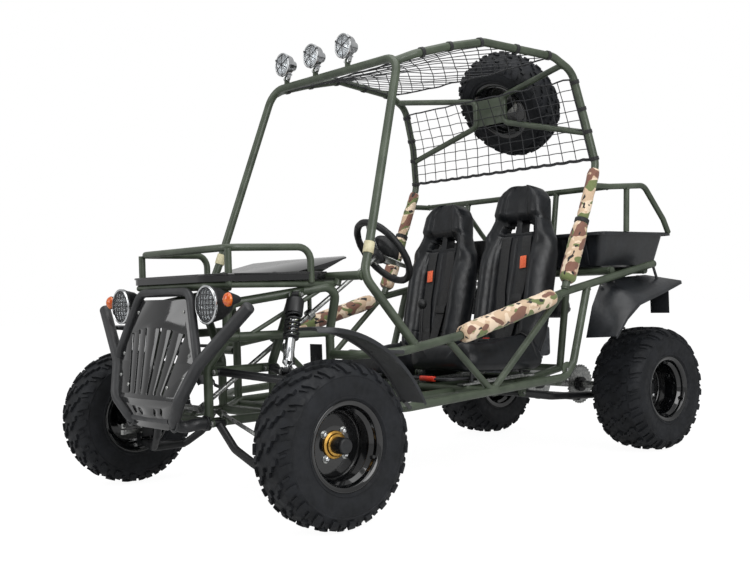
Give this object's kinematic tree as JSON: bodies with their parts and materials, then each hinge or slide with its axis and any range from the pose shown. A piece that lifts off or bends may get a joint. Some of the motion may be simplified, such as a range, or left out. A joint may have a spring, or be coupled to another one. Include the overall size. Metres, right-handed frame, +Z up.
{
  "type": "off road go kart",
  "caption": "Two seat off road buggy on a tube frame with a roll cage, sprung wheels, roof lamps, cargo box, spare wheel and nets.",
  "frame": {"origin": "on the ground, midway between the foremost and rearmost points and between the two sides", "axes": "+Z up, the front faces -Y, the kart's left side is +X"},
  "size_m": [1.508, 2.497, 1.8297],
  "materials": {
    "frame_paint": "satin olive paint on steel tube",
    "black_steel": "satin black paint on steel tube",
    "gloss_panel": "gloss black panels",
    "rim_gloss": "gloss black wheel paint",
    "tyre_rubber": "matt tyre rubber with tread blocks",
    "black_plastic": "matt black moulding",
    "seat_vinyl": "grained black vinyl with stitched channels",
    "camo_padding": "camouflage cloth over foam",
    "net_cord": "woven black webbing",
    "lamp_chrome": "chromed lamp shells with clear lenses",
    "shock_chrome": "polished chrome",
    "bare_steel": "zinc plated steel",
    "engine_alloy": "cast alloy"
  },
  "bodies": {
    "chassis": {"chassis_frame": "frame_paint", "roll_cage": "frame_paint", "side_frame_left": "frame_paint", "side_frame_right": "frame_paint", "hood_panel": "gloss_panel", "cargo_box": "black_plastic", "front_fender_left": "gloss_panel", "front_fender_right": "gloss_panel", "rear_fender_left": "gloss_panel", "rear_fender_right": "gloss_panel", "bull_bar": "black_steel", "grille_plate": "gloss_panel", "headlamp_left": "lamp_chrome", "headlamp_right": "lamp_chrome", "engine": "engine_alloy", "side_pad_left": "camo_padding", "side_pad_right": "camo_padding", "pillar_pad_left": "camo_padding", "pillar_pad_right": "camo_padding", "spare_wheel": "tyre_rubber", "roof_net": "net_cord", "back_net": "net_cord"},
    "steering": {"steering_wheel": "black_plastic"},
    "rack": {"rack_bar": "bare_steel"},
    "swing_arm": {"swing_arm": "black_steel"},
    "rear_axle": {"rear_axle": "rim_gloss", "rear_tyre_left": "tyre_rubber", "rear_tyre_right": "tyre_rubber"},
    "gear_lever": {"gear_lever": "black_plastic"},
    "brake_pedal": {"brake_pedal": "bare_steel"},
    "throttle_pedal": {"throttle_pedal": "bare_steel"},
    "lower_arm_left": {"lower_arm_left": "black_steel"},
    "upper_arm_left": {"upper_arm_left": "black_steel"},
    "upright_left": {"upright_left": "black_steel"},
    "spindle_left": {"spindle_left": "bare_steel"},
    "front_wheel_left": {"front_rim_left": "rim_gloss", "front_tyre_left": "tyre_rubber"},
    "tie_rod_left": {"tie_rod_left": "bare_steel"},
    "front_shock_upper_left": {"front_shock_rod_left": "black_steel", "front_spring_left": "black_steel"},
    "front_shock_lower_left": {"front_shock_tube_left": "shock_chrome"},
    "rear_shock_upper_left": {"rear_shock_rod_left": "black_steel"},
    "rear_shock_lower_left": {"rear_shock_tube_left": "bare_steel"},
    "seat_left": {"seat_left": "seat_vinyl"},
    "lower_arm_right": {"lower_arm_right": "black_steel"},
    "upper_arm_right": {"upper_arm_right": "black_steel"},
    "upright_right": {"upright_right": "black_steel"},
    "spindle_right": {"spindle_right": "bare_steel"},
    "front_wheel_right": {"front_rim_right": "rim_gloss", "front_tyre_right": "tyre_rubber"},
    "tie_rod_right": {"tie_rod_right": "bare_steel"},
    "front_shock_upper_right": {"front_shock_rod_right": "black_steel", "front_spring_right": "black_steel"},
    "front_shock_lower_right": {"front_shock_tube_right": "shock_chrome"},
    "rear_shock_upper_right": {"rear_shock_rod_right": "black_steel"},
    "rear_shock_lower_right": {"rear_shock_tube_right": "bare_steel"},
    "seat_right": {"seat_right": "seat_vinyl"},
    "roof_lamp_1": {"roof_lamp_1": "lamp_chrome"},
    "roof_lamp_2": {"roof_lamp_2": "lamp_chrome"},
    "roof_lamp_3": {"roof_lamp_3": "lamp_chrome"}
  },
  "joints": [
    {"name": "steering_turn", "type": "hinge", "parent": "chassis", "child": "steering", "pos_m": [0.23, -0.32974, 0.89], "axis": [0.1462, 0.8039, 0.5765], "range_deg": [-160.43, 160.43]},
    {"name": "rack_slide", "type": "slide", "parent": "chassis", "child": "rack", "axis": [1, 0, 0], "range_m": [-0.03172, 0.03172]},
    {"name": "lower_arm_swing_left", "type": "hinge", "parent": "chassis", "child": "lower_arm_left", "pos_m": [0.2, -0.94974, 0.311], "axis": [0, -1, 0], "range_deg": [-2.58, 6.59], "stiffness_Nm_per_rad": 1900, "springref_deg": -11.46},
    {"name": "upper_arm_swing_left", "type": "hinge", "parent": "chassis", "child": "upper_arm_left", "pos_m": [0.2, -0.94974, 0.483], "axis": [0, -1, 0], "range_deg": [-2.66, 6.79]},
    {"name": "upright_tilt_left", "type": "hinge", "parent": "lower_arm_left", "child": "upright_left", "pos_m": [0.545, -0.94974, 0.168], "axis": [0, -1, 0], "range_deg": [-4.11, 1.61]},
    {"name": "kingpin_turn_left", "type": "hinge", "parent": "upright_left", "child": "spindle_left", "pos_m": [0.545, -0.94974, 0.266], "axis": [0, 0, 1], "range_deg": [-19.13, 19.13]},
    {"name": "front_wheel_spin_left", "type": "hinge", "parent": "spindle_left", "child": "front_wheel_left", "pos_m": [0.665, -0.94974, 0.266], "axis": [1, 0, 0], "continuous": true},
    {"name": "tie_rod_swing_left", "type": "hinge", "parent": "rack", "child": "tie_rod_left", "pos_m": [0.188, -1.05474, 0.346], "axis": [0, -1, 0], "range_deg": [-2.62, 6.68]},
    {"name": "front_shock_swing_left", "type": "hinge", "parent": "chassis", "child": "front_shock_upper_left", "pos_m": [0.34, -0.83174, 0.736], "axis": [0.789, 0.6144, 0], "range_deg": [-2.64, 1.03]},
    {"name": "front_shock_stroke_left", "type": "slide", "parent": "front_shock_upper_left", "child": "front_shock_lower_left", "axis": [-0.3064, 0.3934, 0.8668], "range_m": [-0.00922, 0.02356], "deforming": ["front_spring_left"]},
    {"name": "lower_arm_swing_right", "type": "hinge", "parent": "chassis", "child": "lower_arm_right", "pos_m": [-0.2, -0.94974, 0.311], "axis": [0, 1, 0], "range_deg": [-2.58, 6.59], "stiffness_Nm_per_rad": 1900, "springref_deg": -11.46},
    {"name": "upper_arm_swing_right", "type": "hinge", "parent": "chassis", "child": "upper_arm_right", "pos_m": [-0.2, -0.94974, 0.483], "axis": [0, 1, 0], "range_deg": [-2.66, 6.79]},
    {"name": "upright_tilt_right", "type": "hinge", "parent": "lower_arm_right", "child": "upright_right", "pos_m": [-0.545, -0.94974, 0.168], "axis": [0, 1, 0], "range_deg": [-4.11, 1.61]},
    {"name": "kingpin_turn_right", "type": "hinge", "parent": "upright_right", "child": "spindle_right", "pos_m": [-0.545, -0.94974, 0.266], "axis": [0, 0, 1], "range_deg": [-19.13, 19.13]},
    {"name": "front_wheel_spin_right", "type": "hinge", "parent": "spindle_right", "child": "front_wheel_right", "pos_m": [-0.665, -0.94974, 0.266], "axis": [-1, 0, 0], "continuous": true},
    {"name": "tie_rod_swing_right", "type": "hinge", "parent": "rack", "child": "tie_rod_right", "pos_m": [-0.188, -1.05474, 0.346], "axis": [0, 1, 0], "range_deg": [-2.62, 6.68]},
    {"name": "front_shock_swing_right", "type": "hinge", "parent": "chassis", "child": "front_shock_upper_right", "pos_m": [-0.34, -0.83174, 0.736], "axis": [0.789, -0.6144, 0], "range_deg": [-2.64, 1.03]},
    {"name": "front_shock_stroke_right", "type": "slide", "parent": "front_shock_upper_right", "child": "front_shock_lower_right", "axis": [0.3064, 0.3934, 0.8668], "range_m": [-0.00922, 0.02356], "deforming": ["front_spring_right"]},
    {"name": "swing_arm_lift", "type": "hinge", "parent": "chassis", "child": "swing_arm", "pos_m": [0, 0.38226, 0.29], "axis": [1, 0, 0], "range_deg": [-2.29, 2.87], "stiffness_Nm_per_rad": 18000, "springref_deg": -5.16},
    {"name": "rear_axle_spin", "type": "hinge", "parent": "swing_arm", "child": "rear_axle", "pos_m": [0, 0.98226, 0.272], "axis": [1, 0, 0], "continuous": true},
    {"name": "rear_shock_swing_left", "type": "hinge", "parent": "chassis", "child": "rear_shock_upper_left", "pos_m": [0.32, 1.05026, 0.716], "axis": [1, 0, 0], "range_deg": [-0.97, 0.78]},
    {"name": "rear_shock_stroke_left", "type": "slide", "parent": "rear_shock_upper_left", "child": "rear_shock_lower_left", "axis": [0, 0.126, 0.992], "range_m": [-0.02509, 0.03136]},
    {"name": "rear_shock_swing_right", "type": "hinge", "parent": "chassis", "child": "rear_shock_upper_right", "pos_m": [-0.32, 1.05026, 0.716], "axis": [1, 0, 0], "range_deg": [-0.97, 0.78]},
    {"name": "rear_shock_stroke_right", "type": "slide", "parent": "rear_shock_upper_right", "child": "rear_shock_lower_right", "axis": [0, 0.126, 0.992], "range_m": [-0.02509, 0.03136]},
    {"name": "brake_press", "type": "hinge", "parent": "chassis", "child": "brake_pedal", "pos_m": [0.12, -0.68774, 0.372], "axis": [1, 0, 0], "range_deg": [0, 20.05], "stiffness_Nm_per_rad": 4, "springref_deg": -22.92},
    {"name": "throttle_press", "type": "hinge", "parent": "chassis", "child": "throttle_pedal", "pos_m": [0.285, -0.68774, 0.372], "axis": [1, 0, 0], "range_deg": [0, 20.05], "stiffness_Nm_per_rad": 4, "springref_deg": -22.92},
    {"name": "gear_shift", "type": "hinge", "parent": "chassis", "child": "gear_lever", "pos_m": [0, 0.05526, 0.392], "axis": [1, 0, 0], "range_deg": [-11.46, 11.46]},
    {"name": "roof_lamp_tilt_1", "type": "hinge", "parent": "chassis", "child": "roof_lamp_1", "pos_m": [-0.297, -0.36974, 1.64], "axis": [1, 0, 0], "range_deg": [-17.19, 17.19]},
    {"name": "roof_lamp_tilt_2", "type": "hinge", "parent": "chassis", "child": "roof_lamp_2", "pos_m": [-0.102, -0.36974, 1.64], "axis": [1, 0, 0], "range_deg": [-17.19, 17.19]},
    {"name": "roof_lamp_tilt_3", "type": "hinge", "parent": "chassis", "child": "roof_lamp_3", "pos_m": [0.103, -0.36974, 1.64], "axis": [1, 0, 0], "range_deg": [-17.19, 17.19]},
    {"name": "seat_slide_left", "type": "slide", "parent": "chassis", "child": "seat_left", "axis": [0, 0.9998, 0.0223], "range_m": [-0.06, 0]},
    {"name": "seat_slide_right", "type": "slide", "parent": "chassis", "child": "seat_right", "axis": [0, 0.9998, 0.0223], "range_m": [-0.06, 0]}
  ],
  "couplings": [
    {"joint": "rack_slide", "follows": "steering_turn", "m_per_rad": -0.011},
    {"joint": "upper_arm_swing_left", "follows": "lower_arm_swing_left", "ratio": 1},
    {"joint": "upright_tilt_left", "follows": "lower_arm_swing_left", "ratio": -0.606},
    {"joint": "kingpin_turn_left", "follows": "steering_turn", "ratio": -0.11579},
    {"joint": "tie_rod_swing_left", "follows": "lower_arm_swing_left", "ratio": 0.985},
    {"joint": "front_shock_swing_left", "follows": "lower_arm_swing_left", "ratio": -0.38833},
    {"joint": "front_shock_stroke_left", "follows": "lower_arm_swing_left", "m_per_rad": 0.19886},
    {"joint": "upper_arm_swing_right", "follows": "lower_arm_swing_right", "ratio": 1},
    {"joint": "upright_tilt_right", "follows": "lower_arm_swing_right", "ratio": -0.606},
    {"joint": "kingpin_turn_right", "follows": "steering_turn", "ratio": -0.11579},
    {"joint": "tie_rod_swing_right", "follows": "lower_arm_swing_right", "ratio": 0.985},
    {"joint": "front_shock_swing_right", "follows": "lower_arm_swing_right", "ratio": -0.38833},
    {"joint": "front_shock_stroke_right", "follows": "lower_arm_swing_right", "m_per_rad": 0.19886},
    {"joint": "rear_shock_swing_left", "follows": "swing_arm_lift", "ratio": -0.32994},
    {"joint": "rear_shock_stroke_left", "follows": "swing_arm_lift", "m_per_rad": 0.60901},
    {"joint": "rear_shock_swing_right", "follows": "swing_arm_lift", "ratio": -0.32994},
    {"joint": "rear_shock_stroke_right", "follows": "swing_arm_lift", "m_per_rad": 0.60901}
  ]
}
